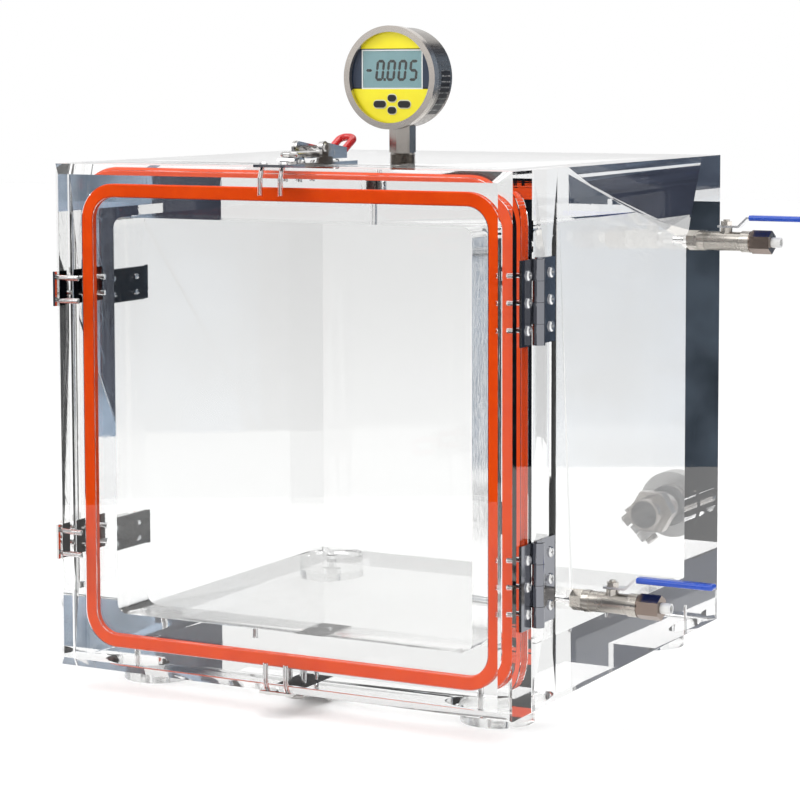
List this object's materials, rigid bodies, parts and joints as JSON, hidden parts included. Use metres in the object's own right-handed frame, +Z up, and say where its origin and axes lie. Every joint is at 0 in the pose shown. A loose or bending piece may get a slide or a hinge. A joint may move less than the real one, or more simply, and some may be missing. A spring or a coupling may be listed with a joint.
{
  "type": "clear vacuum chamber box",
  "caption": "Clear-walled cube chamber with a side-hinged sealed front door, draw latches, digital gauge, ball valves, clamped vacuum port and disc feet.",
  "frame": {"origin": "centre of the box's footprint on the plane that the four feet stand on", "axes": "+Z up, +Y from the door towards the back panel, +X towards the hinges and the valves"},
  "size_m": [0.5107, 0.445, 0.4995],
  "materials": {
    "clear_acrylic": "polished clear cast sheet",
    "orange_silicone": "moulded matt cord",
    "hinge_chrome": "polished",
    "screw_steel": "bright machined",
    "latch_chrome": "polished plate",
    "red_plastic": "glossy moulded",
    "valve_nickel": "satin nickel plate",
    "valve_dark": "dark satin nickel plate",
    "lever_steel": "zinc-bright strip",
    "white_plastic": "drawn tube",
    "blue_vinyl": "dipped vinyl",
    "stainless": "turned",
    "port_ring": "rubber ring on its metal carrier",
    "cast_aluminium": "satin die casting",
    "gauge_thread_steel": "turned steel",
    "gauge_case_steel": "brushed round the case",
    "gauge_polished": "polished",
    "clear_lens": "clear",
    "yellow_label": "printed film",
    "display": "liquid-crystal display",
    "black_rubber": "moulded keys"
  },
  "bodies": {
    "chamber": {"front_flange": "clear_acrylic", "left_wall": "clear_acrylic", "right_wall": "clear_acrylic", "top_panel": "clear_acrylic", "bottom_panel": "clear_acrylic", "back_panel": "clear_acrylic", "feet": "clear_acrylic", "foot_screws": "screw_steel", "hinge_leaves_body": "hinge_chrome", "hinge_pins": "hinge_chrome", "hinge_screws_body": "screw_steel", "latch_bases": "latch_chrome", "latch_rivets": "latch_chrome", "latch_base_screws": "screw_steel", "valve_bodies": "valve_nickel", "valve_wall_nuts": "valve_nickel", "valve_washers": "valve_dark", "valve_end_nuts": "valve_dark", "valve_tube_ends": "white_plastic", "port_nipple": "stainless", "port_inner_nut": "stainless", "centering_ring": "port_ring", "hose_adapter": "stainless", "clamp_halves": "cast_aluminium", "clamp_bolt": "stainless", "gauge_stem": "gauge_thread_steel", "gauge_case": "gauge_case_steel", "gauge_bezel": "gauge_polished", "gauge_lens": "clear_lens", "gauge_face": "yellow_label", "gauge_lcd": "display"},
    "door": {"door_panel": "clear_acrylic", "door_gasket": "orange_silicone", "hinge_leaves_door": "hinge_chrome", "hinge_screws_door": "screw_steel", "latch_catches": "latch_chrome", "latch_catch_screws": "screw_steel"},
    "lever_top": {"latch_lever_top": "latch_chrome", "latch_grip_top": "red_plastic"},
    "drawbar_top": {"latch_drawbar_top": "latch_chrome"},
    "lever_bottom": {"latch_lever_bottom": "latch_chrome", "latch_grip_bottom": "red_plastic"},
    "drawbar_bottom": {"latch_drawbar_bottom": "latch_chrome"},
    "lever_left_upper": {"latch_lever_left_upper": "latch_chrome", "latch_grip_left_upper": "red_plastic"},
    "drawbar_left_upper": {"latch_drawbar_left_upper": "latch_chrome"},
    "lever_left_lower": {"latch_lever_left_lower": "latch_chrome", "latch_grip_left_lower": "red_plastic"},
    "drawbar_left_lower": {"latch_drawbar_left_lower": "latch_chrome"},
    "valve_upper": {"valve_stem_upper": "valve_nickel", "valve_lever_upper": "lever_steel", "valve_sleeve_upper": "blue_vinyl"},
    "valve_lower": {"valve_stem_lower": "valve_nickel", "valve_lever_lower": "lever_steel", "valve_sleeve_lower": "blue_vinyl"},
    "wing_nut": {"wing_nut": "stainless"},
    "key_left": {"gauge_button_left": "black_rubber"},
    "key_right": {"gauge_button_right": "black_rubber"},
    "key_upper": {"gauge_button_upper": "black_rubber"},
    "key_lower": {"gauge_button_lower": "black_rubber"}
  },
  "joints": [
    {"name": "door_hinge", "type": "hinge", "parent": "chamber", "child": "door", "pos_m": [0.1949, -0.156, 0.208], "axis": [0, 0, 1], "range_deg": [0, 175]},
    {"name": "lever_top_hinge", "type": "hinge", "parent": "chamber", "child": "lever_top", "pos_m": [-0.002, -0.132, 0.411], "axis": [1, 0, 0], "range_deg": [0, 100]},
    {"name": "drawbar_top_hinge", "type": "hinge", "parent": "lever_top", "child": "drawbar_top", "pos_m": [-0.002, -0.116, 0.4063], "axis": [1, 0, 0], "range_deg": [-125, 0]},
    {"name": "lever_bottom_hinge", "type": "hinge", "parent": "chamber", "child": "lever_bottom", "pos_m": [0, -0.132, 0.005], "axis": [-1, 0, 0], "range_deg": [0, 100]},
    {"name": "drawbar_bottom_hinge", "type": "hinge", "parent": "lever_bottom", "child": "drawbar_bottom", "pos_m": [0, -0.116, 0.0097], "axis": [-1, 0, 0], "range_deg": [-125, 0]},
    {"name": "lever_left_upper_hinge", "type": "hinge", "parent": "chamber", "child": "lever_left_upper", "pos_m": [-0.203, -0.132, 0.304], "axis": [0, 0, 1], "range_deg": [0, 100]},
    {"name": "drawbar_left_upper_hinge", "type": "hinge", "parent": "lever_left_upper", "child": "drawbar_left_upper", "pos_m": [-0.1983, -0.116, 0.304], "axis": [0, 0, 1], "range_deg": [-125, 0]},
    {"name": "lever_left_lower_hinge", "type": "hinge", "parent": "chamber", "child": "lever_left_lower", "pos_m": [-0.203, -0.132, 0.112], "axis": [0, 0, 1], "range_deg": [0, 100]},
    {"name": "drawbar_left_lower_hinge", "type": "hinge", "parent": "lever_left_lower", "child": "drawbar_left_lower", "pos_m": [-0.1983, -0.116, 0.112], "axis": [0, 0, 1], "range_deg": [-125, 0]},
    {"name": "valve_upper_turn", "type": "hinge", "parent": "chamber", "child": "valve_upper", "pos_m": [0.221, 0.13, 0.333], "axis": [0, 0, 1], "range_deg": [0, 90]},
    {"name": "valve_lower_turn", "type": "hinge", "parent": "chamber", "child": "valve_lower", "pos_m": [0.221, -0.087, 0.086], "axis": [0, 0, 1], "range_deg": [0, 90]},
    {"name": "wing_nut_turn", "type": "hinge", "parent": "chamber", "child": "wing_nut", "pos_m": [0.09825, 0.21, 0.08691], "axis": [-0.6691, 0, 0.7431], "continuous": true},
    {"name": "key_left_press", "type": "slide", "parent": "chamber", "child": "key_left", "axis": [0, 1, 0], "range_m": [0, 0.0006], "stiffness_N_per_m": 400},
    {"name": "key_right_press", "type": "slide", "parent": "chamber", "child": "key_right", "axis": [0, 1, 0], "range_m": [0, 0.0006], "stiffness_N_per_m": 400},
    {"name": "key_upper_press", "type": "slide", "parent": "chamber", "child": "key_upper", "axis": [0, 1, 0], "range_m": [0, 0.0006], "stiffness_N_per_m": 400},
    {"name": "key_lower_press", "type": "slide", "parent": "chamber", "child": "key_lower", "axis": [0, 1, 0], "range_m": [0, 0.0006], "stiffness_N_per_m": 400}
  ],
  "couplings": [
    {"joint": "drawbar_top_hinge", "follows": "lever_top_hinge", "ratio": -1.25},
    {"joint": "drawbar_bottom_hinge", "follows": "lever_bottom_hinge", "ratio": -1.25},
    {"joint": "drawbar_left_upper_hinge", "follows": "lever_left_upper_hinge", "ratio": -1.25},
    {"joint": "drawbar_left_lower_hinge", "follows": "lever_left_lower_hinge", "ratio": -1.25}
  ]
}
